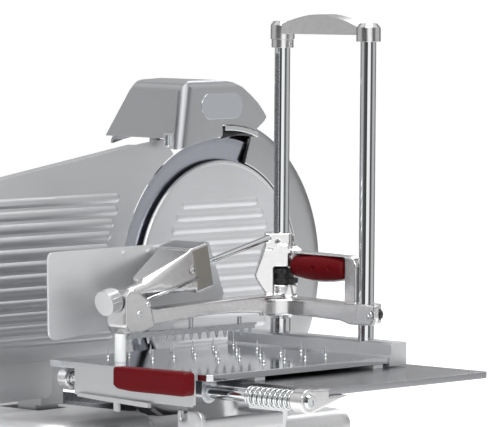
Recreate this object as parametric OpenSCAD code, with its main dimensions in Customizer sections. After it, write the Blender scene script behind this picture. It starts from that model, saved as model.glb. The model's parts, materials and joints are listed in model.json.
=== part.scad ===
// Electric slicer: a ribbed gauge plate and an upright blade on a hollow base, with a tray, press
// and pusher on a carriage that slides along two rails in front.
// It is drawn about the blade centre: the blade turns about y, x runs left to right,
// y front to back (motor side) and z up.

/* [Blade and guards] */
// blade diameter
blade_d = 358; // [350:1:360]
// diameter of the ribbed blade cover disc
cover_d = 300; // [290:2:304]
// outer diameter of the ring guard
guard_d = 414; // [408:2:420]

/* [Gauge plate] */
// slope of the gauge plate's top edge in degrees
gauge_slope = 8.3; // [6:0.1:10]
// spacing of the pressed ribs
rib_pitch = 16; // [14:1:18]
// height the ribs stand proud
rib_h = 2.2; // [1.2:0.1:2.6]

/* [Carriage] */
// thickness of the sliding tray
tray_t = 8; // [6:1:10]
// feed rod diameter
feed_rod_d = 16; // [14:1:17]
// number of working coils in the buffer spring
spring_coils = 9; // [6:1:11]
// spring wire diameter
spring_wire = 2.8; // [2:0.2:3.2]
// height of the tray spikes
spike_h = 13; // [8:1:14]
// spacing of the tray spikes along the tray
spike_pitch = 38.5; // [34:0.5:42]

/* [Columns and press] */
// column diameter
column_d = 20; // [18:0.5:22]
// height of the column tops above the blade centre
column_top = 322; // [300:1:324]
// spacing of the teeth on the grip strip
tooth_pitch = 15.6; // [12:0.2:18]
// pusher rod diameter
pusher_rod_d = 8; // [7:0.5:9]

/* [Base] */
// height of the rubber feet
foot_h = 27; // [24:1:32]
// diameter of the carriage rails
rail_d = 20; // [18:1:22]

/* [Hidden] */
$fn = 64;

// radial clearances: running fit and snug fit
run = 0.05;
snug = 0.02;

// blade and its shaft
blade_r = blade_d / 2;
cover_r = cover_d / 2;
guard_r = guard_d / 2;
spindle_r = 15;
bearing_r = 31;
tie_rod_r = 4;
hinge_x = -5;
hinge_y = 27.5;

// base
base_left = -440;
base_right = 140;
base_front = -136;
base_back = 235;
base_bot = -300;
deck_z = -177;
left_top = -155;
pan_t = 3;
pan_bot = base_bot - pan_t;
foot_bot = pan_bot - foot_h;
foot_x = [-400, 100];
foot_y = [-96, 195];
rail_y = -211;
rail_z = [-232, -278];
rail_r = rail_d / 2;
start_y = -85;
stop_y = -55;
button_z = -240;
cable_x = 70;
cable_z = -275;

// motor, guide rod and cam share one height
shaft_z = -236;
motor_x = 15;
motor_shaft_r = 12;
guide_x = -300;
guide_r = 10;
cam_y = 30;
cam_shaft_r = 8;
cam_start_r = 18;
cam_rise = 15 / 300; // per degree

// sharpener
post_x = -60;
post_y = 56;
post_r = 7;
grind_z = 203;
hone_x = 25;
hone_z = 200;
stone_shaft_r = 4;

// carriage and tray
rod_x = -345;
rod_z = -107;
rod_r = feed_rod_d / 2;
tray_top = -82;
tray_bot = tray_top - tray_t;

// columns, press and pusher
column_x = -38;
back_column_y = -147;
front_column_y = -292;
column_ys = [back_column_y, front_column_y];
column_r = column_d / 2;
clamp_y = -313.5;
clamp_z = -30.5;
grip_z = 23;
grip_half = 44.6;
grip_core_half = 3.5;
push_x = -178;
push_y = -150;
push_z = 33.5;
push_tilt = 12.65;
push_rod_r = pusher_rod_d / 2;

// the origin is the bottom centre of the model's box
place_x = 139.5;
place_y = 95.75;
place_z = -foot_bot;

plum = [0.42, 0.02, 0.04];
alu = [0.72, 0.73, 0.74];
steel = [0.62, 0.64, 0.68];
chrome = [0.82, 0.83, 0.85];
black = [0.05, 0.05, 0.055];
motor_grey = [0.2, 0.22, 0.24];
stone_red = [0.75, 0.4, 0.3];
stone_white = [0.85, 0.84, 0.8];
glide_white = [0.92, 0.92, 0.9];
foot_white = [0.94, 0.94, 0.93];
start_green = [0.05, 0.35, 0.12];
stop_red = [0.5, 0.03, 0.03];

// ---- helpers ----
// Outlines hold [x, z] points for prism_y, [y, z] for prism_x, [x, y] for prism_z
// and [radius, y] for revolve_y.
module place() translate([place_x, place_y, place_z]) children();

// cylinders along one axis: centre, start, end, radius
module cyl_x(y, z, from, to, radius)
  translate([from, y, z]) rotate([0, 90, 0]) cylinder(r = radius, h = to - from);
module cyl_y(x, z, from, to, radius)
  translate([x, from, z]) rotate([-90, 0, 0]) cylinder(r = radius, h = to - from);
module cyl_z(x, y, from, to, radius)
  translate([x, y, from]) cylinder(r = radius, h = to - from);

// box from its limits on each axis
module block(left, right, front, back, low, high)
  translate([left, front, low]) cube([right - left, back - front, high - low]);

module prism_x(from, to)
  translate([from, 0, 0]) rotate([90, 0, 90]) linear_extrude(to - from) children();
module prism_y(from, to)
  translate([0, to, 0]) rotate([90, 0, 0]) linear_extrude(to - from) children();
module prism_z(from, to) translate([0, 0, from]) linear_extrude(to - from) children();
module revolve_y() rotate([-90, 0, 0]) rotate_extrude($fn = 128) children();

// copies spaced evenly about an axis
module around_x(count) for (i = [0:count - 1]) rotate([360 * i / count, 0, 0]) children();
module around_y(radius, count, start = 0) for (i = [0:count - 1]) {
  spot = polar(radius, start + 360 * i / count);
  translate([spot[0], 0, spot[1]]) children();
}

function polar(radius, angle) = [radius * cos(angle), radius * sin(angle)];
function arc(x, y, radius, from, to, steps = 8) =
  [for (i = [0:steps]) [x, y] + polar(radius, from + (to - from) * i / steps)];
function round_rect(left, right, low, high, radius) = concat(
  arc(right - radius, high - radius, radius, 0, 90, 6),
  arc(left + radius, high - radius, radius, 90, 180, 6),
  arc(left + radius, low + radius, radius, 180, 270, 6),
  arc(right - radius, low + radius, radius, 270, 360, 6));
function base_outline(inset, radius) =
  round_rect(base_left + inset, base_right - inset, base_front + inset, base_back - inset, radius);

// shallow pressed rib: a big round bar that just breaks the surface, its ends ramping down
module rib(left, right, z, face_y, proud) {
  bar_r = 10;
  end_r = bar_r - proud - 0.6;
  ramp = 9;
  length = right - left;
  translate([0, face_y, 0]) intersection() {
    translate([left, bar_r - proud, z]) rotate([0, 90, 0]) rotate_extrude()
      polygon([[0, 0], [end_r, 0], [bar_r, ramp], [bar_r, length - ramp], [end_r, length],
        [0, length]]);
    block(left - 1, right + 1, -proud - 1, 1.2, z - bar_r, z + bar_r);
  }
}

// ---- base and drive ----
// box with upright rounded corners and a rounded top edge
module base_form(right, top) {
  corner_r = 42;
  edge_r = 20;
  hull() for (x = [base_left + corner_r, right - corner_r],
              y = [base_front + corner_r, base_back - corner_r]) {
    translate([x, y, top - edge_r]) rotate_extrude($fn = 32)
      translate([corner_r - edge_r, 0]) circle(r = edge_r, $fn = 32);
    cyl_z(x, y, base_bot, base_bot + 4, corner_r, $fn = 32);
  }
}

module base_casting() place() color(alu) difference() {
  union() {
    difference() {
      union() {
        base_form(base_right, deck_z);
        base_form(-232, left_top);
        // rounded bulge on the front wall
        hull() {
          translate([-338, -132, -212]) sphere(r = 50, $fn = 32);
          cyl_z(-338, -132, base_bot, base_bot + 4, 50, $fn = 32);
        }
      }
      prism_z(base_bot - 1, deck_z - 8) polygon(base_outline(13, 28));
      prism_z(deck_z - 9, left_top - 8) polygon(round_rect(-427, -246, -123, 222, 28));
    }
    // bosses for the cam spindle and the guide rod's ends
    block(-430, -410, 10, 50, -262, -210);
    block(-322, -278, 106, 122, base_bot + 1, left_top - 4);
    block(-322, -278, -126, -104, base_bot + 1, left_top - 4);
    // well under the blade
    block(-124, 124, -16, 50, deck_z - 43, deck_z - 4);
  }
  // openings for the blade, gauge bracket and belt
  block(-119, 119, -11, 45, deck_z - 37, deck_z + 2);
  block(-327, -273, 2, 76, left_top - 14, left_top + 1);
  block(-66, 86, 108.5, 138, deck_z - 14, deck_z + 1);
  // holes for the guide rod, cam spindle, buttons and cable
  cyl_y(guide_x, shaft_z, -124.5, 118, guide_r + snug);
  cyl_x(cam_y, shaft_z, -445, -405, cam_shaft_r + run);
  for (y = [start_y, stop_y]) cyl_x(y, button_z, -445, -405, 7);
  cyl_y(cable_x, cable_z, 200, 245, 6 + snug);
}

module base_floor_pan() place() color(steel) difference() {
  prism_z(pan_bot, base_bot) polygon(base_outline(2, 40));
  for (i = [0:5], y = [-60, 150])
    block(-330 + i * 70, -290 + i * 70, y, y + 8, pan_bot - 1, base_bot + 1);
  for (x = foot_x, y = foot_y) cyl_z(x, y, pan_bot - 1, base_bot + 1, 4.3);
}

module rubber_feet() place() color(black)
  for (x = foot_x, y = foot_y) translate([x, y, foot_bot]) difference() {
    cylinder(r1 = 20, r2 = 23, h = foot_h);
    translate([0, 0, -1]) cylinder(r = 9, h = 15);
    translate([0, 0, -1]) cylinder(r = 4.3, h = foot_h + 2);
  }

module machine_screws() place() color(chrome) {
  // hex bolts in the feet
  for (x = foot_x, y = foot_y) translate([x, y, foot_bot + 8.9]) {
    cylinder(r = 7.5, h = 5, $fn = 6);
    cylinder(r = 4, h = 24);
  }
  // socket heads on the rail brackets
  for (x = [-429, 129], y = [-192, -158]) translate([x, y, -213.95]) difference() {
    cylinder(r = 6, h = 5);
    translate([0, 0, 2]) cylinder(r = 3, h = 4, $fn = 6);
  }
  // round heads on the belt guard
  for (x = [-55, 55], z = [-90, 40]) cyl_y(x, z, 146.1, 149, 4.5);
}

module rail_brackets() {
  width = 22;
  eye_r = 18;
  place() color(alu) for (left = [base_left, base_right - width]) difference() {
    union() {
      block(left, left + width, -214, base_front, -298, -214);
      for (z = rail_z) cyl_x(rail_y, z, left, left + width, eye_r);
      block(left, left + width, rail_y - eye_r, rail_y, rail_z[1], rail_z[0]);
    }
    for (z = rail_z) cyl_x(rail_y, z, left - 1, left + width + 1, rail_r + snug);
  }
}

// rails with a blind hole in each end
module carriage_rails() place() color(chrome) for (z = rail_z) difference() {
  cyl_x(rail_y, z, base_left, base_right, rail_r);
  cyl_x(rail_y, z, base_left - 1, base_left + 10, 4.5);
  cyl_x(rail_y, z, base_right - 10, base_right + 1, 4.5);
}

module blade_head() place() color(alu) difference() {
  union() {
    // wall behind the blade, bearing hub and stand
    prism_y(32, 41) polygon(concat([[-12, -198]], arc(0, 0, 199, -86.5, 70, 24), [[-12, 110]]));
    cyl_y(0, 0, 30, 104, 48);
    block(-12, 108, 32, 104, deck_z, -60);
    prism_y(41, 60) polygon([[-12, -70], [108, -70], [60, 100], [20, 100]]);
    // sharpener post on its bracket
    block(-76, 22, 41, 70, 118, 142);
    cyl_z(post_x, post_y, 120, 222, post_r);
    // deflector hinge lugs
    for (z = [-84, 66]) block(-12, 2, 24, 33, z, z + 18);
  }
  cyl_y(0, 0, 29, 105, 26);
  cyl_y(0, 0, 29, 52, bearing_r + snug);
  cyl_y(0, 0, 84, 105, bearing_r + snug);
  for (z = [-84, 66]) cyl_z(hinge_x, hinge_y, z - 1, z + 19, 2 + snug);
}

guard_profile = [[151.5, -4.6], [152.6, -5.6], [186, -5], [197, -2.6], [guard_r - 3, 1.5],
  [guard_r, 7], [guard_r, 31.98], [190, 31.98], [190, 29.5], [guard_r - 3, 29.5],
  [guard_r - 3, 8], [guard_r - 6, 3.8], [195, 0], [186, -2.2], [151.5, -2.6]];

// ring kept only within a sector; it is open towards the gauge plate
module ring_guard() place() color(alu) intersection() {
  revolve_y() polygon(guard_profile);
  prism_y(-20, 60) polygon(concat([[0, 0]], arc(0, 0, 320, -144, 71.5, 24)));
}

cover_profile = [[0, -5], [cover_r - 5, -5], [cover_r - 4, -6.4], [cover_r - 1, -6],
  [cover_r, -4.5], [cover_r, -2], [cover_r - 6, -1], [0, -1]];

module blade_cover() place() color(alu) difference() {
  union() {
    revolve_y() polygon(cover_profile);
    intersection() {
      union() for (i = [0:12]) {
        z = 94 - rib_pitch * i;
        reach = sqrt(max(100, cover_r * cover_r - z * z)) - 40;
        rib(-reach, reach, z, -5, 2);
      }
      cyl_y(0, 0, -10, 0, cover_r - 8);
    }
    cyl_y(0, 0, -1.5, 2.4, 9);
  }
  cyl_y(0, 0, -0.5, 3, tie_rod_r + run);
}

bearing_bore = spindle_r + snug;
bearing_profile = [[bearing_bore, 0], [19, 0], [19.5, 1], [27, 1], [27.5, 0], [bearing_r, 0],
  [bearing_r, 16], [27.5, 16], [27, 15], [19.5, 15], [19, 16], [bearing_bore, 16]];

module blade_bearings() place() color(chrome)
  for (y = [35, 84.5]) translate([0, y, 0]) revolve_y() polygon(bearing_profile);

module belt_guard() place() color(alu) difference() {
  prism_y(104.2, 146) polygon(concat(arc(0, 0, 74, 0, 180, 20),
    [[-74, deck_z + 0.1], [92, deck_z + 0.1], [92, -90]]));
  prism_y(103, 142) polygon(concat(arc(0, 0, 71, 0, 180, 20),
    [[-71, deck_z - 1], [89, deck_z - 1], [89, -88]]));
  cyl_y(0, 0, 140, 147, 7);
  for (i = [0:4]) block(-30 + i * 14, -23 + i * 14, 140, 147, -130, -90);
}

module belt_loop(blade_end_r, motor_end_r) hull() {
  circle(r = blade_end_r, $fn = 48);
  translate([motor_x, shaft_z]) circle(r = motor_end_r, $fn = 32);
}

module drive_belt() place() color(black) difference() {
  prism_y(114, 130) belt_loop(63.5, 37.5);
  prism_y(113, 131) belt_loop(60.4, 34.4);
}

// one cooling fin, repeated along the motor
fin_profile = [[44, 150], [48, 150.6], [48, 153], [44, 153.6]];

module motor_housing() place() color(motor_grey) difference() {
  union() {
    translate([motor_x, 0, shaft_z]) revolve_y() polygon(concat([[0, 142], [44, 142]],
      [for (i = [0:5]) for (point = fin_profile) point + [0, 9 * i]],
      [[44, 208], [38, 210], [38, 220], [0, 220]]));
    block(-25, 55, 150, 204, base_bot + 0.2, shaft_z);
  }
  cyl_y(motor_x, shaft_z, 140, 190, motor_shaft_r + run);
}

// flanged belt pulley
function pulley_profile(bore_r, rim_r) = [[bore_r, 112], [rim_r, 112], [rim_r, 113.5],
  [rim_r - 3, 113.6], [rim_r - 3, 130.4], [rim_r, 130.5], [rim_r, 132], [bore_r, 132]];

module motor_pulley() place() color(steel) {
  cyl_y(motor_x, shaft_z, 112, 186, motor_shaft_r);
  translate([motor_x, 0, shaft_z]) revolve_y() polygon(pulley_profile(11, 37));
}

module gauge_guide_rod() place() color(chrome) cyl_y(guide_x, shaft_z, -124, 117, guide_r);

module switch_plate() place() color(steel) difference() {
  prism_x(-443, -440.05) polygon(round_rect(-104, -36, -262, -218, 8));
  for (y = [start_y, stop_y]) cyl_x(y, button_z, -444, -439, 5.1);
}

module receiving_tray() place() color(steel) difference() {
  prism_z(deck_z + 0.05, deck_z + 14) polygon(round_rect(-226, -84, 54, 205, 14));
  prism_z(deck_z + 2, deck_z + 15) polygon(round_rect(-224, -86, 56, 203, 12));
}

// cable leaves the back of the base and bends down
module power_cable() {
  cord_r = 4.5;
  bend_r = 20;
  place() color(black) {
    cyl_y(cable_x, cable_z, 222, 258, 6);
    cyl_y(cable_x, cable_z, 236, 246, 11);
    translate([cable_x, 257.9, cable_z - bend_r]) rotate([0, -90, 0])
      rotate_extrude(angle = 90) translate([bend_r, 0]) circle(r = cord_r);
    cyl_z(cable_x, 278, -326, -294.9, cord_r);
  }
}

// ---- blade ----
blade_profile = [[20, 4], [120, 4], [cover_r - 8, 3.4], [cover_r + 4, 2.2], [blade_r, -0.4],
  [blade_r, 0.1], [blade_r - 9, 5.5], [blade_r - 14, 6.6], [110, 8], [20, 8]];

module blade() place() color(steel) revolve_y() polygon(blade_profile);

module blade_spindle() place() color(chrome) difference() {
  union() {
    cyl_y(0, 0, 8, 18, 45);
    cyl_y(0, 0, 17, 134, spindle_r);
    cyl_y(0, 0, 4.5, 9, 20 - snug);
  }
  cyl_y(0, 0, 3, 135, 5);
  around_y(33, 4, 45) cyl_y(0, 0, 12, 19, 3);
}

module blade_pulley() place() color(steel) difference() {
  revolve_y() polygon(pulley_profile(spindle_r + snug, 63));
  around_y(38, 6) cyl_y(0, 0, 111, 133, 12);
}

// ---- gauge plate ----
gauge_left = -486;
gauge_gap_r = blade_r + 1.6;

// point on the sloping top edge at x, lowered by drop
function gauge_top(x, drop = 0) = [x, 174.8 + (x + 146.7) * tan(gauge_slope) - drop];

plate_outline = concat(
  [[gauge_left, -92], gauge_top(gauge_left, 12), gauge_top(-474), gauge_top(-150),
    gauge_top(-104, 0.6), gauge_top(-104, 3) + [4, 0]],
  arc(0, 0, gauge_gap_r, 117.5, 210.7, 30));
lower_tab_outline = concat([[gauge_left, -90], [gauge_left, -134], [-480, -142]],
  arc(-317, -128, 12, 270, 360, 6), [[-305, -90]]);

module gauge_plate() place() color(alu) difference() {
  union() {
    prism_y(0, 5) polygon(plate_outline);
    prism_y(0, 5) polygon(lower_tab_outline);
    // flanges behind the left and top edges
    prism_y(4.5, 18) polygon([[gauge_left, -134], gauge_top(gauge_left, 12), gauge_top(-474),
      gauge_top(-474, 4), gauge_top(gauge_left, 13) + [3, 0], [-483, -134]]);
    prism_y(4.5, 18) polygon([gauge_top(-474.5), gauge_top(-150), gauge_top(-150, 3),
      gauge_top(-474.5, 3)]);
    for (i = [0:11]) {
      z = 108 - rib_pitch * i;
      rib(gauge_left + 1, -sqrt(205 * 205 - z * z) + (i == 0 ? -6 : 0), z, 0, rib_h);
    }
  }
  // groove above the lower tab
  block(-486.5, -300, -0.5, 0.8, -92.6, -90.8);
}

module gauge_bracket() place() color(alu) difference() {
  union() {
    block(guide_x - 20, guide_x + 20, 5.02, 36, -150, 60);
    block(guide_x - 20, guide_x + 20, 14, 46, shaft_z, -120);
    cyl_y(guide_x, shaft_z, 0, 70, 20);
    // pin in the cam's groove
    cyl_x(cam_y + cam_start_r, shaft_z, -340.6, -312, 4);
    prism_y(5.02, 14) polygon([[-400, 20], [-220, 20], [-220, 60], [-400, 60]]);
  }
  cyl_y(guide_x, shaft_z, -1, 71, guide_r + run);
}

module thickness_knob() place() color(black) difference() {
  union() {
    cyl_x(cam_y, shaft_z, -482, -446, 34);
    cyl_x(cam_y, shaft_z, -450, -441.5, 40);
    translate([0, cam_y, shaft_z]) around_x(18) cyl_x(33, 0, -481, -450, 3.4);
  }
  cyl_x(cam_y, shaft_z, -478, -440, cam_shaft_r + snug);
}

// one edge of the spiral groove, offset from its centre line
function spiral(steps, offset) = [for (i = steps) let (angle = 14 - 328 * i / 60)
  [cam_y, shaft_z] + polar(cam_start_r - angle * cam_rise + offset, angle)];

module scroll_cam() place() color(steel) difference() {
  union() {
    cyl_x(cam_y, shaft_z, -477, -340, cam_shaft_r);
    cyl_x(cam_y, shaft_z, -345, -335, 44);
  }
  prism_x(-341, -334) polygon(concat(spiral([0:60], -4.6), spiral([60:-1:0], 4.6)));
}

// ---- sharpener ----
// the hood is where three outlines meet; each takes an inset for the hollow inside
function hood_side(inset) = concat([[-140, 160 - inset * 20], [-140, 230]],
  arc(-91.5, 243, 13 - inset, 176, 94, 8),
  [[-60, 257.5 - inset], [-28, 256 - inset], [-13, 253.5 - inset], [3, 247 - inset],
    [20 - inset / 2, 236 - inset], [34.5 - inset, 225 - inset], [46 - inset, 213],
    [51 - inset, 206.5]]);
function hood_end(inset) = concat([[-40 + inset, 100], [-40 + inset, 245]],
  arc(-28, 245, 12 - inset, 172, 90, 7), arc(43, 246.5, 11 - inset, 90, 30, 5),
  [[97 - inset, 176], [97 - inset, 100]]);
// leaning plan shape with the front left corner rounded
module hood_round(inset)
  translate([-116 + inset, 0, 168]) rotate([0, 7.9, 0]) translate([0, 0, -80])
    linear_extrude(200) polygon(concat(arc(14 - inset, -26, 14 - inset, 180, 270, 8),
      [[300, -40 + inset], [300, 120], [0, 120]]));

hood_bottom = concat([[47, 201], [30, 189.8]], arc(0, 0, 192, 80, 99, 8),
  [[-34, 183.4], [-70.7, 178], [-100, 171.5], [-140, 163]]);
hood_slot = [[-33.7, 180], [-33.7, 198.4], [-12, 198], [10, 195], [26, 191], [38, 186], [38, 180]];

module sharpener_hood() place() color(alu) difference() {
  intersection() {
    prism_y(-40, 98) polygon(concat(hood_side(0), hood_bottom));
    prism_x(-130, 60) polygon(hood_end(0));
    hood_round(0);
  }
  intersection() {
    prism_y(-37, 96) polygon(concat(hood_side(3), [[46, 120]]));
    prism_x(-130, 60) polygon(hood_end(3));
    hood_round(3);
  }
  // the left wall stops higher behind the latch
  block(-130, -100, -29.9, 100, 150, 182);
  block(-130, -100, -29.9, -11.9, 150, 190.1);
  // slot in the front wall
  prism_y(-45, -30) polygon(hood_slot);
}

module sharpener_frame() place() color(alu) difference() {
  union() {
    // back bar, then the bridge over the blade to the front stone
    block(-74, 26, 40, 68, 196, 214);
    block(-20, 8, 40, 46, 205, 235);
    block(-20, 8, -28, 41, 228.5, 235);
    block(-20, 8, -28, -12, 207, 229);
    block(-20, 30, -28, -12, 207, 216);
    block(-104.9, -60, 50, 62, 204, 216);
    block(16, 34, -30, -8, 188, 217);
  }
  cyl_z(post_x, post_y, 195, 227, post_r + run);
  cyl_y(0, grind_z, 39, 73, stone_shaft_r + run);
  cyl_y(hone_x, hone_z, -31, -7, stone_shaft_r + run);
}

module hood_latch() place() color(chrome) difference() {
  block(-115.5, -101, -29.9, -12, 169, 190);
  translate([-117, -26.5, 172]) cube([9, 11, 14.5]);
  block(-106, -100, -30, -20, 168, 180);
}

module grinding_stone() place() color(stone_red) {
  cyl_y(0, grind_z, 12.5, 22, 24);
  cyl_y(0, grind_z, 22, 74.5, stone_shaft_r);
  cyl_y(0, grind_z, 27, 33, 7);
}

module honing_stone() place() color(stone_white) {
  cyl_y(hone_x, hone_z, -6, -3, 15);
  cyl_y(hone_x, hone_z, -34, -6, stone_shaft_r);
}

// ---- rear deflector ----
deflector_outline = concat([[-12, -100]], arc(0, 0, 152, 222, 140, 16),
  [[-12, 97], [-12, 60], [-56, 56], [-56, -56], [-12, -60]]);

module slice_deflector() place() color(steel) {
  prism_y(22, 24) polygon(deflector_outline);
  // hinge knuckles and pins
  for (z = [-66, 52]) cyl_z(hinge_x, hinge_y, z, z + 14, 2);
  for (z = [-64, 53]) {
    cyl_z(hinge_x, hinge_y, z, z + 10, 4.5);
    block(-14, -5, 22, 24.5, z, z + 10);
  }
  for (z = [-84, 64]) cyl_z(hinge_x, hinge_y, z, z + 20, 1.99);
}

// ---- controls ----
module button(y, cap_left, cap_r) {
  cyl_x(y, button_z, cap_left, -447, cap_r);
  cyl_x(y, button_z, -447, -424, 5);
}

module start_button() place() color(start_green) button(start_y, -453, 9);
module stop_button() place() color(stop_red) button(stop_y, -455, 11);

// rod through the spindle with a fluted knob at the back
module cover_tie_rod() place() color(black) {
  cyl_y(0, 0, -0.2, 150, tie_rod_r);
  cyl_y(0, 0, 147, 172, 20);
  around_y(20, 8) cyl_y(0, 0, 150, 170, 3.5);
}

// ---- carriage ----
outrigger_outline = concat([[-288, -126], [-288, -172], [-330, -172]],
  arc(-318, -138, 12, 180, 90, 6));

module carriage_arm() place() color(alu) difference() {
  union() {
    block(-223, -128, -235, -187, -300, -212);
    hull() {
      prism_z(-215, -212) polygon(round_rect(-223, -128, -235, -187, 8));
      prism_z(-142, -140) polygon(round_rect(-223, -128, -236, -187, 10));
      prism_z(-104.5, -103.05) polygon(round_rect(-256, -124, -256, -160, 16));
    }
    // outrigger and stop plate near the tray's corner
    prism_x(-382, -373) polygon(outrigger_outline);
    block(-374, -215, -310, -296, -160, -140);
    block(-232, -212, -310, -230, -160, -140);
  }
  for (z = rail_z) cyl_x(rail_y, z, -224, -127, rail_r + run);
  block(-384, -371, -304, -294, -140, -125);
  cyl_x(-322, -146, -384, -371, 2.5);
}

module lower_plate() place() color(steel) prism_z(-103, -95)
  polygon(concat([[-310, -75], [-310, -452], [-300, -462]],
    arc(-8, -452, 10, 270, 360, 5), arc(-8, -85, 10, 0, 90, 5)));

module rod_lugs() place() color(alu) for (span = [[-470, -450], [-78, -62]]) difference() {
  prism_y(span[0], span[1]) polygon(concat(arc(rod_x, rod_z, 15, 64, 290, 22),
    [[-272, -103.05], [-310.1, -103.05], [-310.1, -95]]));
  cyl_y(rod_x, rod_z, span[0] - 1, span[0] + 21, rod_r + snug);
}

module feed_rod() place() color(chrome) difference() {
  union() {
    cyl_y(rod_x, rod_z, -471, -62, rod_r);
    translate([rod_x, -474, rod_z]) rotate([-90, 0, 0]) cylinder(r1 = 8, r2 = 9.5, h = 3.97);
  }
  cyl_y(rod_x, rod_z, -475, -470, 4.2, $fn = 6);
}

// wire rings swept along a helix around the feed rod
module feed_spring() {
  turn_steps = 20;
  sides = 8;
  coil_r = 11.2;
  start = -446;
  pitch = 68.5 / spring_coils;
  wire_r = spring_wire / 2;
  total = round(spring_coils * turn_steps);
  points = [for (i = [0:total]) for (j = [0:sides - 1])
    let (turn = i / turn_steps, angle = 360 * j / sides,
         spot = polar(coil_r + wire_r * cos(angle), 360 * turn))
    [rod_x + spot[0], start + pitch * turn + wire_r * sin(angle), rod_z + spot[1]]];
  walls = [for (i = [0:total - 1]) for (j = [0:sides - 1]) let (next = (j + 1) % sides)
    [i * sides + j, i * sides + next, (i + 1) * sides + next, (i + 1) * sides + j]];
  start_cap = [for (j = [sides - 1:-1:0]) j];
  end_cap = [for (j = [0:sides - 1]) total * sides + j];
  place() color(chrome)
    polyhedron(points = points, faces = concat(walls, [start_cap], [end_cap]));
}

module glide_strips() place() color(glide_white)
  for (x = [-296, -76]) block(x, x + 18, -338, -100, -94.98, tray_bot - 0.03);

// ---- sliding tray ----
module tray_plate() place() color(steel) prism_z(tray_bot, tray_top)
  polygon([[-52.02, -66], [-375, -66], [-381, -72], [-381, -336], [-375, -342], [-52.02, -342]]);

// four staggered rows, each one spike shorter than the row behind it
module tray_spikes() place() color(chrome) for (row = [0:3]) for (i = [0:6 - row])
  translate([-81 - 19 * (row % 2) - spike_pitch * i, -105 - 58 * row, tray_top + 0.02]) {
    cylinder(r1 = 2.3, r2 = 2, h = 2);
    translate([0, 0, 1.9]) cylinder(r1 = 1.9, r2 = 0.3, h = spike_h - 2);
  }

module tray_end_wall() place() color(alu) difference() {
  prism_y(-344, -66) polygon([[-52, -93], [-20, -93], [-20, -66], [-22, -64], [-46, -64],
    [-49, -67], [-49.6, -80], [-52, -82]]);
  for (y = column_ys) cyl_z(column_x, y, -90, -60, column_r + snug);
}

apron_outline = [[-92, -82.5], [-94, -84.5], [-117.5, -88.5], [-117.5, -121], [-316, -122.5],
  [-319, -119.5], [-319, -82]];
apron_strip_outline = [[-128, -118], [-128, -122.6], [-160, -124.5], [-248, -128],
  [-248, -121.5], [-160, -119]];

module tray_apron() place() color(alu) {
  prism_x(-384.2, -381.1) polygon(apron_outline);
  // stiffening strip and stop peg along the lower edge
  prism_x(-390, -384.1) polygon(apron_strip_outline);
  prism_x(-389, -385) polygon([[-189, -124], [-189, -136], [-197, -136.6], [-197, -124]]);
}

module apron_handle() place() color(plum) difference() {
  prism_x(-403, -384.3) polygon(concat(
    [[-201, -80], [-201, -102.5], [-208, -106.5], [-231, -108.5]],
    arc(-315, -102.5, 6, 270, 180, 4), arc(-315, -85, 6, 180, 90, 4)));
  // bevels on the long left edges
  for (z = [-79.2, -109.3])
    translate([-403, -262, z]) rotate([0, 45, 0]) cube([4, 200, 4], center = true);
}

module tray_bushings() place() color(steel) for (y = [-308, -150]) difference() {
  union() {
    cyl_y(rod_x, rod_z, y, y + 30, 14);
    block(-358, -332, y, y + 30, rod_z, tray_bot - 0.03);
  }
  cyl_y(rod_x, rod_z, y - 1, y + 31, rod_r + run);
}

// the back column has a shallow groove down its left side
module press_columns() place() color(chrome) {
  cyl_z(column_x, front_column_y, -90, column_top, column_r);
  difference() {
    cyl_z(column_x, back_column_y, -90, column_top, column_r);
    block(column_x - 11, column_x - column_r + 0.8, back_column_y - 4, back_column_y + 4,
      -30, 296);
  }
}

module column_foot_sleeve() place() color(chrome) difference() {
  cyl_z(column_x, back_column_y, -63.95, -45, 13);
  cyl_z(column_x, back_column_y, -65, -44, column_r + snug);
}

bridge_outline = concat(
  [[front_column_y + 10, 320], [back_column_y - 10, 319], [back_column_y - 10, 332]],
  [for (i = [0:12]) [back_column_y - 22 - i / 12 * 101, 336 + 9 * sin(15 * i)]],
  [[front_column_y + 10, 332]]);

module column_bridge() place() color(alu) difference() {
  union() {
    for (y = column_ys) {
      cyl_z(column_x, y, 312, 330, 15.5);
      translate([column_x, y, 330]) cylinder(r1 = 15.5, r2 = 12, h = 5);
    }
    prism_x(column_x - 13, column_x + 13) polygon(bridge_outline);
  }
  for (y = column_ys) cyl_z(column_x, y, 311, column_top + 0.2, column_r + snug);
}

module stop_collar() {
  screw_z = 306.5;
  screw_r = 2.5;
  place() color(alu) {
    difference() {
      cyl_z(column_x, back_column_y, 301, 311.9, 14.2);
      cyl_z(column_x, back_column_y, 300, 313, column_r + snug);
      translate([column_x, back_column_y, screw_z]) rotate([90, 0, 0])
        cylinder(r = screw_r + snug, h = 20);
    }
    // its set screw
    difference() {
      cyl_y(column_x, screw_z, back_column_y - 14.6, back_column_y - 10.1, screw_r);
      cyl_y(column_x, screw_z, back_column_y - 15, back_column_y - 12.5, 1.3, $fn = 6);
    }
  }
}

// ---- press ----
// grip radius at a share of its length
function grip_r(share) = 10 + 7.2 * pow(sin(180 * (0.06 + 0.88 * share)), 0.62);
// upper (side 1) or lower (side -1) edge of the core in the grip
function core_edge(steps, side) =
  [for (i = steps) [-170 - 92 * i / 16, grip_z + side * (grip_r(i / 16) + 0.9)]];

// frame turned about the back column
module turned_head() translate([column_x, back_column_y, 0]) rotate([0, 0, -47.7]) children();
// frame of the tilted pusher rod, x along the rod
module pusher_frame()
  translate([push_x, push_y, push_z]) rotate([0, -push_tilt, 0]) children();

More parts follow.
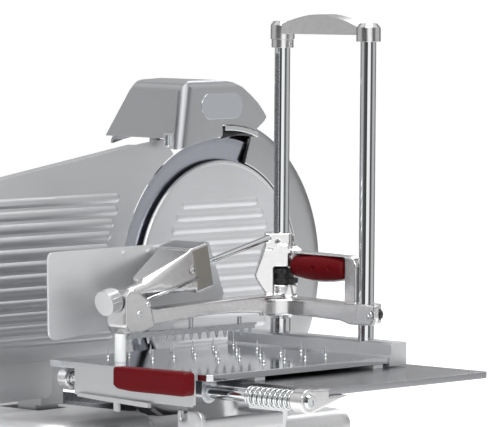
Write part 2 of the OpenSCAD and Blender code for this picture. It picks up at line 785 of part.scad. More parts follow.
bar_outline = [[-126, -43], [-126, -16], [-160, -17], [-276, -20], [-296, -18], [-304.2, -18],
  [-304.2, -45], [-276, -45], [-262, -41], [-170, -38]];
tower_cap_outline = [[-20, -27], [-22, -25], [-21, 15], [-19, 17], [11.5, 17], [13.5, 15],
  [13.5, -19], [11.5, -21]];
tower_outline = [[-19, 50], [-24, 44], [-29, 27], [-33.5, 10], [-27, -3], [-19, -14], [-15, -40],
  [13, -40], [17, -20], [13, -1], [13, 50]];
tower_face_outline = [[-20.4, 50], [-22, 46], [-28.2, 27], [-34.3, 10.4], [-27.4, -1.6],
  [-20, -12.5], [-16, -30], [-9.4, -30], [-9.4, 22], [9.6, 22], [9.6, 50]];
clamp_outline = [[-296, -18.6], [-320.5, -18.6], [-320.5, -36], [-314, -44.3], [-302, -44.3],
  [-292, -43.6]];
arm_outline = concat([for (i = [0:10]) [-50 - 24.6 * i, -14 - 6 * pow(i / 10, 2)]],
  [[-300, -6], [-322, 6], [-338, 7], [-345, 0], [-345, -38], [-338, -47], [-316, -47],
    [-296, -40]],
  [for (i = [10:-1:0]) [-52 - 23.6 * i, -39 + 7 * sin(18 * i)]]);
clevis_outline = [[-301, -9], [-322, 5.4], [-337.6, 6.4], [-344.4, -0.4], [-344.4, -37.6],
  [-337.6, -46.4], [-316, -46.4], [-292, -40.6]];
loop_outline = concat([[-150, 61], [-158, 60], [-166, 48], [-176, 42.5], [-262, 40.5]],
  arc(-269, 26.5, 14, 90, 180, 6),
  [[-283, -24], [-263.7, -24], [-263.7, 38.5], [-176, 38.5], [-162, 40], [-150, 46]]);
core_outline = concat([[-158, 33]], core_edge([0:16], 1), [[-266, 33], [-266, 12]],
  core_edge([16:-1:0], -1), [[-158, 12]]);

module press_casting() place() color(alu) difference() {
  union() {
    // bar between the columns
    prism_x(-54, -22) polygon(bar_outline);
    // tower on the back column
    cyl_z(column_x, back_column_y, -43.5, 61.5, 16.4);
    turned_head() {
      prism_z(45, 64.5) polygon(tower_cap_outline);
      prism_y(-19, 18) polygon(tower_outline);
      prism_y(-24.4, -14) polygon(tower_face_outline);
    }
    translate([column_x, back_column_y, -30]) cylinder(r1 = 18, r2 = 22, h = 28.5);
    prism_x(-54.3, -45.4) polygon(clamp_outline);
    // fillet between the bar and the long arm
    prism_z(-39, -18.5) polygon(concat([[-50, -158], [-92, -158], [-92, -162.6]],
      arc(-96, -205, 42, 84, 6, 8), [[-50, -201]]));
    // long arm to the pusher clevis
    prism_y(-163, -137) polygon(arm_outline);
    prism_y(-167, -133) polygon(clevis_outline);
    // loop over the grip, and the flat core inside it
    prism_x(-48, -28) polygon(loop_outline);
    prism_x(column_x - grip_core_half, column_x + grip_core_half) polygon(core_outline);
  }
  // window for the lock wheel
  cyl_z(column_x, back_column_y, -0.6, 19.6, 22.6);
  for (y = column_ys) cyl_z(column_x, y, -50, 70, column_r + run);
  // clamp slit and screw hole at the front column
  block(-40, -36, -320, -292, -50, -10);
  cyl_x(clamp_y, clamp_z, -60, -40, 3 + snug);
  turned_head() block(-8, 30, -40, -3, -0.5, 19.5);
  turned_head() cyl_y(-4, 54, -30, -12, 2);
  // the pusher rod's holes, and the notch for the pusher body
  pusher_frame() cyl_x(0, 0, -180, 117, push_rod_r + 0.03);
  prism_y(-160, -140) polygon([[-329, 20], [-296, 20], [-280, -28], [-329, -34]]);
}

grip_profile = concat(
  [[0, -grip_half], [grip_r(0.01) - 3, -grip_half], [grip_r(0.01), -42]],
  [for (i = [1:15]) [grip_r(i / 16), -grip_half + 2 * grip_half * i / 16]],
  [[grip_r(0.99), 42], [grip_r(0.99) - 3, grip_half], [0, grip_half]]);

module press_grip() {
  slot_half = grip_core_half + run;
  place() color(plum) difference() {
    translate([column_x, -216.5, grip_z]) rotate([90, 0, 0]) rotate_extrude()
      polygon(grip_profile);
    block(column_x - slot_half, column_x + slot_half, -265, -165, 0, 46);
    block(-60, -16, -265, -165, 38.4, 46);
    for (y = [-186, -216, -242], x = [-60, -24]) cyl_x(y, grip_z, x, x + 8, 2.6);
  }
}

// toothed strip under the long arm
module grip_strip() place() color(steel) {
  block(-326, -92, -152, -149, -54.5, -50);
  block(-326, -92, -155, -146, -50, -47.6);
  for (i = [0:14]) translate([-100 - tooth_pitch * i, -149, -54.4]) rotate([90, 0, 0])
    linear_extrude(3) polygon([[-2.6, 0], [2.6, 0], [0, -8.6]]);
  // studs: x, top
  for (stud = [[-120, -39], [-210, -33.2], [-300, -44]])
    cyl_z(stud[0], -150.5, -47.7, stud[1], 3);
}

module press_foot() place() color(foot_white) cyl_z(-337, -150, tray_top + 0.1, -47.1, 7);

module pusher_rod() place() color(chrome) pusher_frame() cyl_x(0, 0, -190, 116, push_rod_r);

// two fluted discs joined by a narrower waist
module press_lock_wheel() place() color(black) difference() {
  union() {
    cyl_z(column_x, back_column_y, 0, 6.5, 21.5);
    cyl_z(column_x, back_column_y, 6, 13, 17);
    cyl_z(column_x, back_column_y, 12.5, 19, 21.5);
    for (angle = [0:15:345], span = [[0.4, 6], [13, 18.6]])
      cyl_z(column_x + 21 * cos(angle), back_column_y + 21 * sin(angle), span[0], span[1], 1.3);
  }
  cyl_z(column_x, back_column_y, -1, 20, column_r + 0.08);
}

// clamp screw: socket head, shank and fluted inner knob
module column_knob() place() color(black) {
  difference() {
    cyl_x(clamp_y, clamp_z, -57.8, -54.35, 4.6);
    cyl_x(clamp_y, clamp_z, -58, -55.5, 2.4, $fn = 6);
  }
  cyl_x(clamp_y, clamp_z, -54.6, -37, 3);
  cyl_x(clamp_y, clamp_z, -45.2, -38, 6.8);
  translate([0, clamp_y, clamp_z]) around_x(12) cyl_x(6.4, 0, -44.6, -38.6, 1.4);
}

// ---- pusher ----
module pusher_body() place() color(alu) difference() {
  pusher_frame() union() {
    // taper towards the knob
    hull() {
      block(-33, -31, -4, 52, -27, 24);
      cyl_x(0, 0, -123, -100, 9, $fn = 32);
      block(-118, -112, 0, 20, -14, 12);
    }
    // block against the plate
    hull() {
      block(-32, 0, -4, 54, -32, 26);
      block(-31, -1, -2, 56.95, -30, 24);
    }
    cyl_x(0, 0, -146, -110, 9);
    cyl_x(0, 0, -150.5, -145, 7);
  }
  pusher_frame() cyl_x(0, 0, -152, 2, push_rod_r + run);
}

pusher_outline = concat([[-406, 45]], arc(-398, 45, 8, 180, 90, 4),
  [[-126, 55], [-116, 52], [-87, -14], [-90, -22], [-240, -44]],
  arc(-392, -44, 12, 270, 180, 5));

module pusher_plate() place() color(alu) {
  prism_y(-93, -90) polygon(pusher_outline);
  for (x = [-272.6, -228]) cyl_y(x, 46, -94.5, -92.5, 2.5);
}

module pusher_knob() place() color(alu) difference() {
  pusher_frame() union() {
    cyl_x(0, 0, -193, -175.2, 15.6);
    around_x(18) cyl_x(15, 0, -190.5, -178, 1.2);
  }
  pusher_frame() cyl_x(0, 0, -191, -170, push_rod_r + 0.08);
}

base_casting();
base_floor_pan();
rubber_feet();
machine_screws();
rail_brackets();
carriage_rails();
blade_head();
ring_guard();
blade_cover();
blade_bearings();
belt_guard();
drive_belt();
motor_housing();
gauge_guide_rod();
switch_plate();
receiving_tray();
power_cable();
blade();
blade_spindle();
blade_pulley();
motor_pulley();
gauge_plate();
gauge_bracket();
thickness_knob();
scroll_cam();
sharpener_hood();
sharpener_frame();
hood_latch();
grinding_stone();
honing_stone();
slice_deflector();
start_button();
stop_button();
cover_tie_rod();
carriage_arm();
lower_plate();
rod_lugs();
feed_rod();
feed_spring();
glide_strips();
tray_plate();
tray_spikes();
tray_end_wall();
tray_apron();
apron_handle();
tray_bushings();
press_columns();
column_foot_sleeve();
column_bridge();
stop_collar();
press_casting();
press_grip();
grip_strip();
press_foot();
pusher_rod();
press_lock_wheel();
column_knob();
pusher_body();
pusher_plate();
pusher_knob();
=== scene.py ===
# A food slicer: fixed CAD pieces get materials and softened edges, and small parts are added.
# +Z is up. The blade turns about an axis along Y. Parts are measured in millimetres from the
# blade centre and the viewer looks from -X and -Y, slightly above.
import bpy, math, json
from mathutils import Vector, Matrix

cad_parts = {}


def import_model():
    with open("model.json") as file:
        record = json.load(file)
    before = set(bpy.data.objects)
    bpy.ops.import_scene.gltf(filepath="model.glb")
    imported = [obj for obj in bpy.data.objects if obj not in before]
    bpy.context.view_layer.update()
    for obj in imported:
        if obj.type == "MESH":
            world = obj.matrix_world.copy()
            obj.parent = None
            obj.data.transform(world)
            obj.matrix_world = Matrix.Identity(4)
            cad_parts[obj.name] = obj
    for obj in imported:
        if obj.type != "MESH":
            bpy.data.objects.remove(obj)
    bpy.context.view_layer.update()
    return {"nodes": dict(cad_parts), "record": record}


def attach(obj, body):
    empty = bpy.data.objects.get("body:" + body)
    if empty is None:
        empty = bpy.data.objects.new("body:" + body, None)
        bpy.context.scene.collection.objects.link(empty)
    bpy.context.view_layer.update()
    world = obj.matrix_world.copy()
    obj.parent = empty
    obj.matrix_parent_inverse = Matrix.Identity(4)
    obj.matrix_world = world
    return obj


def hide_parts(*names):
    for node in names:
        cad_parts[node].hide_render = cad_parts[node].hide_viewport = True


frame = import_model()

scene = bpy.context.scene
BLADE_CENTRE = Vector((0.1395, 0.09575, 0.330))     # in the row frame, metres
MM = 1000                                           # millimetres in a metre


def at(x, y, z):
    """A point in millimetres from the blade centre, in the row frame in metres."""
    return Vector((x, y, z)) / MM + BLADE_CENTRE


# ------------------------------------------------------------------ shader helpers
MAT = {}


def plug(target, inputs):
    """Link each input that is given a socket, and set each that is given a value."""
    for key, value in inputs.items():
        if isinstance(value, bpy.types.NodeSocket):
            target.id_data.links.new(value, target.inputs[key])
        else:
            target.inputs[key].default_value = value


def node(tree, kind, inputs=None, **settings):
    made = tree.nodes.new(kind)
    for key, value in settings.items():
        setattr(made, key, value)
    plug(made, inputs or {})
    return made


def new_material(name):
    """An empty material with a Principled shader, kept in MAT."""
    mat = bpy.data.materials.new(name)
    mat.use_nodes = True
    tree = mat.node_tree
    tree.nodes.clear()
    output = node(tree, "ShaderNodeOutputMaterial")
    shader = node(tree, "ShaderNodeBsdfPrincipled")
    plug(output, {0: shader.outputs[0]})
    MAT[name] = mat
    return tree, shader, output


def calc(tree, operation, *values):
    return node(tree, "ShaderNodeMath", dict(enumerate(values)), operation=operation).outputs[0]


def ramp(tree, source, stops):
    """A grey ramp; each stop is (position, brightness)."""
    made = node(tree, "ShaderNodeValToRGB", {0: source})
    elements = made.color_ramp.elements
    while len(elements) > 1:
        elements.remove(elements[0])
    elements[0].position = stops[0][0]
    elements[0].color = (*[stops[0][1]] * 3, 1)
    for position, grey in stops[1:]:
        elements.new(position).color = (grey, grey, grey, 1)
    return made.outputs[0]


def mapped(tree, scale=(1, 1, 1)):
    """Object coordinates, stretched along the axes where the scale is small."""
    coords = node(tree, "ShaderNodeTexCoord")
    return node(tree, "ShaderNodeMapping",
                {"Scale": scale, 0: coords.outputs["Object"]}).outputs[0]


def noise(tree, vector, scale, detail, rough=0.6):
    return node(tree, "ShaderNodeTexNoise", {"Scale": scale, "Detail": detail,
                                             "Roughness": rough, "Vector": vector}).outputs["Fac"]


def tint(tree, shader, low, high, factor):
    """Base colour running from low to high with the factor."""
    mix = node(tree, "ShaderNodeMix", {6: (*low, 1), 7: (*high, 1), 0: factor}, data_type="RGBA")
    plug(shader, {"Base Color": mix.outputs[2]})


def relief(tree, shader, height, bump, edge):
    """Bump over edges rounded in shading; bump depth and edge radius in millimetres."""
    rounded = node(tree, "ShaderNodeBevel", {"Radius": edge / MM}, samples=4)
    bumped = node(tree, "ShaderNodeBump", {"Strength": 1, "Distance": bump / MM,
                                           "Height": height, "Normal": rounded.outputs[0]})
    plug(shader, {"Normal": bumped.outputs[0]})


# ------------------------------------------------------------------ materials
def metal(name, colour, rough, grain, grain_scale, grain_amt, bump, blotch, edge,
          cast=0.0, dark=0.82, metallic=1.0):
    """Metal with a directional grain and slow blotches.

    grain_amt and blotch spread the roughness, cast weights the fine pitting,
    and dark scales the colour's low end.
    """
    tree, shader, _ = new_material(name)
    lines = noise(tree, mapped(tree, grain), scale=grain_scale, detail=3, rough=0.7)
    blotches = noise(tree, mapped(tree), scale=9, detail=5)
    pits = noise(tree, mapped(tree), scale=420, detail=3)
    grained = calc(tree, "MULTIPLY_ADD", lines, grain_amt, rough - grain_amt / 2)
    spread = calc(tree, "MULTIPLY_ADD", blotches, blotch * 2, -blotch)
    plug(shader, {"Roughness": calc(tree, "ADD", grained, spread), "Metallic": metallic})
    # the tint follows both the grain and the blotches
    blotch_share = calc(tree, "MULTIPLY", blotches, 0.5)
    tint(tree, shader, low=[c * dark for c in colour], high=colour,
         factor=calc(tree, "MULTIPLY_ADD", lines, 0.55, blotch_share))
    # the grain counts at full height
    height = calc(tree, "ADD", calc(tree, "MULTIPLY", lines, 1.0),
                  calc(tree, "MULTIPLY", pits, cast))
    relief(tree, shader, height, bump, edge)


def plastic(name, colour, rough, bump=0.05, scale=500, coat=0.0, spec=0.5):
    """Plastic, paint, rubber or stone: fine bump, with slow changes of colour and roughness."""
    tree, shader, _ = new_material(name)
    vector = mapped(tree)
    fine = noise(tree, vector, scale=scale, detail=3)
    slow = noise(tree, vector, scale=14, detail=5)
    tint(tree, shader, low=[c * 0.78 for c in colour],
         high=[min(1, c * 1.12) for c in colour], factor=slow)
    spread = 0.16       # roughness range over the slow noise
    plug(shader, {"Roughness": calc(tree, "MULTIPLY_ADD", slow, spread, rough - spread / 2),
                  "Specular IOR Level": spec})
    if coat:
        plug(shader, {"Coat Weight": coat, "Coat Roughness": 0.15})
    relief(tree, shader, fine, bump, edge=0.8)


# Metal finishes; bump and edge in millimetres
CAST = dict(grain=(1, 1, 1), grain_scale=260, grain_amt=0.10, bump=0.05, blotch=0.05,
            edge=1.2, cast=1.6)
BRUSHED = dict(grain=(0.03, 1, 1), grain_scale=900, grain_amt=0.12, bump=0.014, blotch=0.03,
               edge=0.8)
SATIN = dict(BRUSHED, grain=(0.04, 0.04, 1), grain_scale=1100)
HOOD = dict(BRUSHED, grain=(1, 0.6, 0.03), blotch=0.04)
SHEET = dict(BRUSHED, grain=(0.05, 1, 1), bump=0.01, edge=0.5)
PRESS = dict(grain=(1, 1, 1), grain_scale=160, grain_amt=0.07, bump=0.03, blotch=0.07,
             edge=1.0, cast=0.8, dark=0.7)
MIRROR = dict(grain=(1, 0.05, 1), grain_scale=700, grain_amt=0.06, bump=0.004, blotch=0.02,
              edge=0.6)
BLADE = dict(grain=(1, 1, 1), grain_scale=300, grain_amt=0.05, bump=0.004, blotch=0.03,
             edge=0.4)
CHROME = dict(grain=(1, 1, 0.1), grain_scale=600, grain_amt=0.03, bump=0.002, blotch=0.01,
              edge=0.4)
PAD = dict(grain=(1, 0.3, 0.06), grain_scale=420, grain_amt=0.3, bump=0.08, blotch=0.08,
           edge=0.4, dark=0.6)
BADGE = dict(grain=(1, 0.2, 1), grain_scale=500, grain_amt=0.05, bump=0.003, blotch=0.01,
             edge=0.2)

metal("cast_alu", (0.56, 0.565, 0.575), rough=0.40, **CAST)
metal("satin_alu", (0.53, 0.535, 0.545), rough=0.34, **SATIN)
metal("satin_alu_x", (0.66, 0.668, 0.685), rough=0.36, **BRUSHED)
metal("plate_alu", (0.74, 0.75, 0.765), rough=0.42, metallic=0.8, **BRUSHED)
metal("cover_alu", (0.62, 0.627, 0.645), rough=0.36, metallic=0.6, **BRUSHED)
metal("base_alu", (0.66, 0.66, 0.67), rough=0.44, metallic=0.75, **CAST)
metal("plate_steel", (0.36, 0.365, 0.38), rough=0.24, **SHEET)
metal("hood_alu", (0.50, 0.508, 0.525), rough=0.33, **HOOD)
metal("press_alu", (0.74, 0.733, 0.738), rough=0.22, **PRESS)
metal("mirror_alu", (0.60, 0.61, 0.63), rough=0.09, **MIRROR)
metal("sheet_steel", (0.50, 0.51, 0.53), rough=0.26, **SHEET)
metal("blade_steel", (0.39, 0.402, 0.455), rough=0.20, **BLADE)
metal("chrome", (0.66, 0.675, 0.685), rough=0.06, **CHROME)
plastic("rubber", (0.03, 0.03, 0.032), rough=0.75, bump=0.12, scale=420, spec=0.3)
plastic("belt_rubber", (0.035, 0.035, 0.035), rough=0.7, bump=0.2, scale=300, spec=0.3)
plastic("motor_paint", (0.13, 0.15, 0.17), rough=0.45, bump=0.1, scale=300)
plastic("black_plastic", (0.012, 0.012, 0.013), rough=0.35, bump=0.06, scale=600, spec=0.4)
plastic("green_plastic", (0.02, 0.28, 0.07), rough=0.25, bump=0.02, coat=0.3)
plastic("red_plastic", (0.5, 0.015, 0.015), rough=0.25, bump=0.02, coat=0.3)
plastic("plum_plastic", (0.098, 0.001, 0.003), rough=0.42, bump=0.12, scale=420, spec=0.10)
plastic("nylon", (0.86, 0.88, 0.88), rough=0.4, bump=0.03, scale=300)
plastic("stone_red", (0.42, 0.16, 0.11), rough=0.9, bump=0.5, scale=900, spec=0.2)
plastic("stone_pale", (0.62, 0.61, 0.57), rough=0.9, bump=0.4, scale=900, spec=0.2)
metal("end_pad", (0.36, 0.345, 0.315), rough=0.45, **PAD)
metal("badge_blank", (0.60, 0.62, 0.66), rough=0.2, **BADGE)

# ------------------------------------------------------------------ CAD pieces
SLOT = {part["node"]: part["material_slot"] for part in frame["record"]["subparts"]}
# Pieces whose material differs from their slot's
LOOK = {
    "gauge_plate": "satin_alu_x", "tray_end_wall": "satin_alu_x",
    "blade_cover": "cover_alu", "pusher_plate": "plate_alu",
    "base_casting": "base_alu", "lower_plate": "plate_steel",
    "press_casting": "press_alu", "column_bridge": "press_alu", "pusher_body": "press_alu",
    "rod_lugs": "press_alu", "stop_collar": "press_alu",
    "sharpener_hood": "hood_alu", "tray_bushings": "sheet_steel",
}
# Rounded castings: voxel size in millimetres, smoothing steps
SOFT = {
    "press_casting": (1.0, 15), "pusher_body": (1.2, 14), "carriage_arm": (2.2, 8),
    "rod_lugs": (1.0, 5), "apron_handle": (1.1, 12), "press_grip": (0.9, 3),
}
# Bevel widths in millimetres of the other pieces; 0 leaves the edges alone
BEVEL = {
    "feed_spring": 0, "tray_spikes": 0, "blade": 0, "rubber_feet": 1.0, "base_casting": 0.8,
    "drive_belt": 0.3, "sharpener_hood": 1.2, "column_bridge": 1.6,
}
BEVEL_USUAL = 0.5


def bevel(obj, width, segments, angle):
    """Bevel, width in millimetres, of edges sharper than the angle in degrees."""
    edges = obj.modifiers.new("edges", "BEVEL")
    edges.width = width / MM
    edges.segments = segments
    edges.limit_method = "ANGLE"
    edges.angle_limit = math.radians(angle)
    return edges


def weigh_normals(obj):
    normals = obj.modifiers.new("normals", "WEIGHTED_NORMAL")
    normals.keep_sharp = True
    return normals


def soften(obj, voxel, steps):
    """Remesh and smooth a casting, so that its edges get cast radii."""
    skin = obj.modifiers.new("skin", "REMESH")
    skin.mode = "VOXEL"
    skin.voxel_size = voxel / MM
    skin.adaptivity = 0
    skin.use_smooth_shade = True
    radii = obj.modifiers.new("cast_radii", "SMOOTH")
    radii.factor = 0.5
    radii.iterations = steps


def dress(name, obj):
    """Give a CAD piece its material, smooth shading and edge treatment."""
    mesh = obj.data
    mesh.materials.clear()
    mesh.materials.append(MAT[LOOK.get(name, SLOT[name])])
    for face in mesh.polygons:
        face.use_smooth = True
    if "custom_normal" in mesh.attributes:
        mesh.attributes.remove(mesh.attributes["custom_normal"])
    obj.modifiers.new("weld", "WELD").merge_threshold = 2e-6
    if name in SOFT:
        soften(obj, *SOFT[name])
        return
    width = BEVEL.get(name, BEVEL_USUAL)
    if width:
        bevel(obj, width, segments=2, angle=28).miter_outer = "MITER_ARC"
    weigh_normals(obj).weight = 80


for piece_name, piece in frame["nodes"].items():
    dress(piece_name, piece)


# ------------------------------------------------------------------ mesh helpers
def mesh_obj(name, verts, faces, mat, body, slot, smooth=True):
    mesh = bpy.data.meshes.new(name)
    mesh.from_pydata([tuple(v) for v in verts], [], faces)
    mesh.validate()
    mesh.update()
    for face in mesh.polygons:
        face.use_smooth = smooth
    obj = bpy.data.objects.new(name, mesh)
    scene.collection.objects.link(obj)
    mesh.materials.append(MAT[mat])
    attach(obj, body)
    return obj


def round_edges(obj, width, segments=3):
    bevel(obj, width, segments, angle=30)
    weigh_normals(obj)


def ring_quads(rings, sides):
    """Quads joining successive rings of vertices."""
    faces = []
    for i in range(rings - 1):
        for j in range(sides):
            k = (j + 1) % sides
            faces.append((i * sides + j, i * sides + k, (i + 1) * sides + k, (i + 1) * sides + j))
    return faces


def capped_rings(rings, sides):
    """The same quads, closed at both ends."""
    last = (rings - 1) * sides
    return ring_quads(rings, sides) + [tuple(range(sides - 1, -1, -1)),
                                       tuple(range(last, last + sides))]


def turns(sides):
    """Angles evenly spaced round a circle."""
    return [2 * math.pi * i / sides for i in range(sides)]


def tube(path, radius, sides):
    """Vertices and faces of a round tube along a path; radius in millimetres."""
    verts = []
    last = len(path) - 1
    across = None
    for i, point in enumerate(path):
        along = (path[min(i + 1, last)] - path[max(i - 1, 0)]).normalized()
        if across is None:
            across = along.orthogonal().normalized()
        else:
            across = (across - along * across.dot(along)).normalized()
        third = along.cross(across)
        for a in turns(sides):
            verts.append(point + (across * math.cos(a) + third * math.sin(a)) * (radius / MM))
    return verts, capped_rings(len(path), sides)


def prism(name, outline, y0, y1, mat, body, slot):
    """A closed (x, z) outline carried from y0 to y1."""
    n = len(outline)
    verts = [at(x, y, z) for y in (y0, y1) for x, z in outline]
    faces = [tuple(range(n)), tuple(range(2 * n - 1, n - 1, -1))]
    faces += [(i, i + n, (i + 1) % n + n, (i + 1) % n) for i in range(n)]
    return mesh_obj(name, verts, faces, mat, body, slot)


# ------------------------------------------------------------------ added parts
def buffer_spring():
    """Helix along Y that takes the place of the CAD spring, with nearly flat end coils."""
    x, z = -345, -107
    y0, y1 = -446.2, -377.4     # ends of the open coils
    coils, coil_radius, wire_radius = 9.6, 11.2, 1.4
    end = 0.06                  # share of the wire in each end coil
    end_rise = 0.9
    steps = 300
    path = []
    for i in range(steps + 1):
        t = i / steps
        if t < end:
            y = y0 - end_rise * (1 - t / end)
        elif t > 1 - end:
            y = y1 + end_rise * ((t - 1 + end) / end)
        else:
            y = y0 + (y1 - y0) * (t - end) / (1 - 2 * end)
        a = 2 * math.pi * coils * t
        path.append(at(x + coil_radius * math.cos(a), y, z + coil_radius * math.sin(a)))
    obj = mesh_obj("buffer_spring", *tube(path, wire_radius, sides=10),
                   "chrome", "carriage", "chrome")
    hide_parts("feed_spring")


def column_rack():
    """Fine teeth down the first column's groove, where the press height clicks."""
    root_x, tip_x, back_x = -47.3, -48.9, -46.6
    y0, y1 = -150.4, -143.6
    z0, z1 = -28.0, 294.0
    teeth = 216
    steps = teeth * 2
    heights = [z0 + (z1 - z0) * i / steps for i in range(steps + 1)]
    verts = []
    for i, z in enumerate(heights):
        x = tip_x if i % 2 else root_x
        verts += [at(x, y0, z), at(x, y1, z)]
    back = len(verts)           # first vertex of the flat back
    for z in heights:
        verts += [at(back_x, y0, z), at(back_x, y1, z)]
    faces = [(a, a + 1, a + 3, a + 2) for a in range(0, 2 * steps, 2)]
    for a in range(0, 2 * steps, 2):
        b = back + a
        faces += [(b, b + 2, b + 3, b + 1), (a, a + 2, b + 2, b), (a + 1, b + 1, b + 3, a + 3)]
    top = 2 * steps
    faces += [(0, back, back + 1, 1), (top, top + 1, back + top + 1, back + top)]
    mesh_obj("column_rack", verts, faces, "sheet_steel", "tray", "chrome", smooth=False)


def hood_slot_lip():
    """Bright strip along the hood's slot."""
    # (x, z) along the upper edge
    upper = [(-30.5, 197.2), (-14, 196.6), (4, 194.4), (20, 190.8), (33.5, 186.2)]
    shift_x, drop = 0.6, 6.2    # from the upper edge to the lower
    lower = [(x - shift_x, z - drop) for x, z in reversed(upper)]
    obj = prism("hood_slot_lip", upper + lower, -42.6, -38.2, "chrome", "sharpener", "chrome")
    round_edges(obj, 0.9)


def hood_slot_painted_shade():
    """Painted shade: a black plate behind the hood's slot, for the dark inside of the hood; its
    lower edge is an arc about the blade centre.
    """
    # (x, z) along the upper edge
    upper = [(-33.2, 196.8), (-12, 196.4), (10, 193.6), (26, 189.6), (34, 186.4)]
    radius = 183.2
    angles = [math.radians(a) for a in (9.6, 6, 3, 0, -3, -6, -10.4)]   # from +Z towards +X
    lower = [(radius * math.sin(a), radius * math.cos(a)) for a in angles]
    # the black plate is painted shade, not a part of the hood
    prism("hood_slot_painted_shade", upper + lower, -36.6, -35.9,
          "black_plastic", "sharpener", "black_plastic")


def blank_badge():
    """A plain badge with round corners on the hood."""
    x0, x1, z0, z1 = -74, 4, 206, 240
    radius = 16
    steps = 8                   # along each corner
    left, right = x0 + radius, x1 - radius
    low, high = z0 + radius, z1 - radius
    outline = []
    for x, z, start in ((right, high, 0), (left, high, 90), (left, low, 180), (right, low, 270)):
        for i in range(steps + 1):
            a = math.radians(start + i * 90 / steps)
            outline.append((x + radius * math.cos(a), z + radius * math.sin(a)))
    obj = prism("blank_badge", outline, -40.9, -39.6, "badge_blank", "sharpener", "satin_alu")
    round_edges(obj, 0.5)


def guard_end_painted_shade():
    """Painted shade: a thin black plate on the ring guard's upper end face, for the dark gap
    between the guard's end and the blade.
    """
    inner, outer = 154, 185
    a0, a1 = math.radians(71.56), math.radians(72.2)    # from +X towards +Z
    corners = ((inner, a0), (outer, a0), (outer, a1), (inner, a1))
    outline = [(r * math.cos(a), r * math.sin(a)) for r, a in corners]
    # the black plate is painted shade for the gap at the guard's end
    prism("guard_end_painted_shade", outline, -4.9, -1.2, "black_plastic", "machine", "black_plastic")


def clevis_screw(name, x, z):
    """A screw head facing -Y, with a dished face."""
    sides = 20
    # (radius, y) from the face to the back
    profile = [(2.4, -168.9), (3.6, -168.5), (3.9, -167.6), (3.9, -165.8)]
    dish_y = -168.2
    verts = [at(x + r * math.cos(a), y, z + r * math.sin(a))
             for r, y in profile for a in turns(sides)]
    centre = len(verts)
    verts.append(at(x, dish_y, z))
    faces = [(a, d, c, b) for a, b, c, d in ring_quads(len(profile), sides)]
    faces += [(i, (i + 1) % sides, centre) for i in range(sides)]
    faces.append(tuple(range(centre - 1, centre - sides - 1, -1)))
    mesh_obj(name, verts, faces, "chrome", "press", "chrome")


def clamp_screw_head():
    """Bright socket head of the screw that pinches the press on its second column."""
    centre_y, centre_z = -313.5, -30.5
    sides = 28
    # (radius, x) round the head and into the socket
    profile = [(4.75, -54.5), (4.75, -57.4), (4.35, -58.1), (3.7, -58.4),
               (2.3, -58.4), (2.2, -58.2), (2.2, -56.6)]
    socket_radius = 2.25        # rings smaller than this are six-lobed
    verts = []
    for ring, x in profile:
        for a in turns(sides):
            lobe = 1.0 if ring > socket_radius else 0.93 + 0.07 * abs(math.cos(3 * a))
            r = lobe * ring
            verts.append(at(x, centre_y + r * math.cos(a), centre_z + r * math.sin(a)))
    mesh_obj("clamp_screw_head", verts, capped_rings(len(profile), sides),
             "chrome", "clamp_knob", "chrome")


def at_pusher(x, y, z):
    """A point in the pusher's own axes, with x along its tilted rod, in millimetres."""
    tilt = math.radians(12.65)
    return at(-178 + x * math.cos(tilt) - z * math.sin(tilt), -150 + y,
              33.5 + x * math.sin(tilt) + z * math.cos(tilt))


def pusher_stay():
    """A thin rod beside the pusher's, bent once."""
    z = -13.2
    path = [at_pusher(x, y, z) for x, y in ((-148, -8.5), (-90, -8.5), (-29, -5.5))]
    mesh_obj("pusher_stay", *tube(path, radius=2.6, sides=14), "chrome", "pusher", "chrome")


def pusher_end_pad():
    """A thin rectangular pad on the pusher."""
    x0, x1, z0, z1 = -30, -2, -29, 23
    corners = ((x0, z0), (x1, z0), (x1, z1), (x0, z1))
    verts = [at_pusher(x, y, z) for y in (-4.9, -3.6) for x, z in corners]
    faces = [(0, 3, 2, 1), (4, 5, 6, 7)]
    faces += [(i, (i + 1) % 4, (i + 1) % 4 + 4, i + 4) for i in range(4)]
    obj = mesh_obj("pusher_end_pad", verts, faces, "end_pad", "pusher", "satin_alu")
    round_edges(obj, 0.6, segments=2)


buffer_spring()
column_rack()
hood_slot_lip()
# painted shade behind the hood's slot
hood_slot_painted_shade()
blank_badge()
# painted shade at the ring guard's upper end
guard_end_painted_shade()
clevis_screw("clevis_screw_1", x=-305, z=-12)
clevis_screw("clevis_screw_2", x=-321, z=-23)
clamp_screw_head()
pusher_stay()
pusher_end_pad()

# ------------------------------------------------------------------ studio
# Bright and dark cards round the object: (azimuth, brightness), where azimuth runs
# from -X (0) through -Y (0.25), +X (0.5) and +Y (0.75)
CARDS = [
    (0.0, 0.16), (0.082, 0.06), (0.10, 1.9), (0.20, 1.8), (0.22, 0.14), (0.29, 0.22),
    (0.31, 0.95), (0.44, 0.9), (0.465, 0.2), (0.60, 0.5), (0.70, 0.75), (0.765, 0.2),
    (0.80, 0.9), (0.92, 0.85), (0.95, 0.16), (1.0, 0.16),
]
# Studio brightness by height: (0 straight down to 1 straight up, brightness)
SKY = [(0.0, 0.75), (0.47, 0.80), (0.52, 0.62), (0.60, 0.85), (0.8, 1.1), (1.0, 1.3)]


def split_coords(tree, output):
    coords = node(tree, "ShaderNodeTexCoord")
    return node(tree, "ShaderNodeSeparateXYZ", {0: coords.outputs[output]}).outputs


def cards(tree, x, y):
    turn = calc(tree, "ARCTAN2", y, x)
    return ramp(tree, calc(tree, "MULTIPLY_ADD", turn, 1 / (2 * math.pi), 0.5), CARDS)


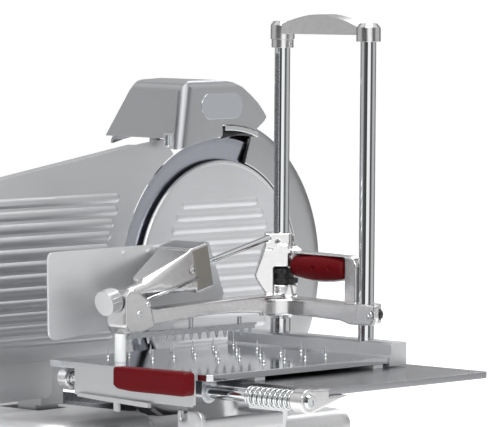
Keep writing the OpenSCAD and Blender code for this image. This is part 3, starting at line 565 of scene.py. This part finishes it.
def floor_material():
    tree, shader, output = new_material("floor")
    mottle = noise(tree, mapped(tree), scale=3, detail=3)
    plug(shader, {"Base Color": ramp(tree, mottle, [(0.0, 0.86), (1.0, 0.9)]),
                  "Roughness": 0.7, "Specular IOR Level": 0.1,
                  "Emission Color": (1, 1, 1, 1), "Emission Strength": 0.4})
    # far away, reflections see the studio's cards instead of the floor
    x, y, _ = split_coords(tree, "Object")
    card_light = cards(tree, x, y)
    square = calc(tree, "ADD", calc(tree, "MULTIPLY", x, x), calc(tree, "MULTIPLY", y, y))
    # 0 within 1 m of the centre, rising to 1 at 3 m
    far = calc(tree, "MULTIPLY_ADD", calc(tree, "SQRT", square), 0.5, -0.5)
    far.node.use_clamp = True
    glow = node(tree, "ShaderNodeEmission", {"Color": card_light, "Strength": 0.75})
    path = node(tree, "ShaderNodeLightPath")
    share = calc(tree, "MULTIPLY", path.outputs["Is Glossy Ray"], far)
    mix = node(tree, "ShaderNodeMixShader", {0: share, 1: shader.outputs[0], 2: glow.outputs[0]})
    plug(output, {0: mix.outputs[0]})


def floor():
    half = 220          # metres
    mesh = bpy.data.meshes.new("floor")
    mesh.from_pydata([(-half, -half, 0), (half, -half, 0), (half, half, 0), (-half, half, 0)],
                     [], [(0, 1, 2, 3)])
    obj = bpy.data.objects.new("floor", mesh)
    scene.collection.objects.link(obj)
    floor_material()
    mesh.materials.append(MAT["floor"])
    obj.location = (0, 0, -0.0003)      # just under the feet


def world():
    """White to the camera; cards and sky to everything else."""
    studio = bpy.data.worlds.new("studio")
    scene.world = studio
    studio.use_nodes = True
    tree = studio.node_tree
    tree.nodes.clear()
    output = node(tree, "ShaderNodeOutputWorld")
    x, y, z = split_coords(tree, "Generated")
    sky = ramp(tree, calc(tree, "MULTIPLY_ADD", z, 0.5, 0.5), SKY)
    both = node(tree, "ShaderNodeMix", {0: 1, 6: sky, 7: cards(tree, x, y)},
                data_type="RGBA", blend_type="MULTIPLY")
    lit = node(tree, "ShaderNodeBackground", {"Strength": 0.95, "Color": both.outputs[2]})
    white = node(tree, "ShaderNodeBackground", {"Color": (1, 1, 1, 1)})
    path = node(tree, "ShaderNodeLightPath")
    mix = node(tree, "ShaderNodeMixShader", {0: path.outputs["Is Camera Ray"],
                                             1: lit.outputs[0], 2: white.outputs[0]})
    plug(output, {0: mix.outputs[0]})


def area(name, place, target, size, power, size_y=None):
    """An area light aimed at the target; metres and watts."""
    light = bpy.data.lights.new(name, "AREA")
    light.energy = power
    light.size = size
    if size_y:
        light.shape = "RECTANGLE"
        light.size_y = size_y
    obj = bpy.data.objects.new(name, light)
    scene.collection.objects.link(obj)
    obj.location = place
    aim = Vector(target) - Vector(place)
    obj.rotation_euler = aim.to_track_quat("-Z", "Y").to_euler()
    obj.visible_camera = False


floor()
world()
area("key", place=(-2.6, -1.6, 2.4), target=(0, 0, 0.35), size=1.2, power=52)
area("top", place=(0.2, -0.2, 3.0), target=(0, 0, 0.3), size=1.8, power=58)
area("rim", place=(2.4, 1.0, 1.6), target=(0, 0, 0.35), size=0.8, power=15, size_y=2.0)
scene.view_settings.view_transform = "Standard"
scene.view_settings.look = "None"


# ------------------------------------------------------------------ camera
def camera():
    azimuth, elevation, roll = (math.radians(a) for a in (-47.716, 3.667, 0.408))
    back = Vector((math.sin(azimuth) * math.cos(elevation),
                   -math.cos(azimuth) * math.cos(elevation), math.sin(elevation)))
    level = Vector((math.cos(azimuth), math.sin(azimuth), 0))
    rise = back.cross(level)
    right = level * math.cos(roll) + rise * math.sin(roll)
    up = rise * math.cos(roll) - level * math.sin(roll)
    lens = bpy.data.cameras.new("camera")
    lens.sensor_width = 36
    lens.lens = 327.219552
    lens.clip_start = 0.1
    lens.clip_end = 400
    obj = bpy.data.objects.new("camera", lens)
    scene.collection.objects.link(obj)
    pose = Matrix((right, up, back)).transposed().to_4x4()
    pose.translation = at(-4363.516, -4026.624, 460.59)
    obj.matrix_world = pose
    scene.camera = obj


camera()
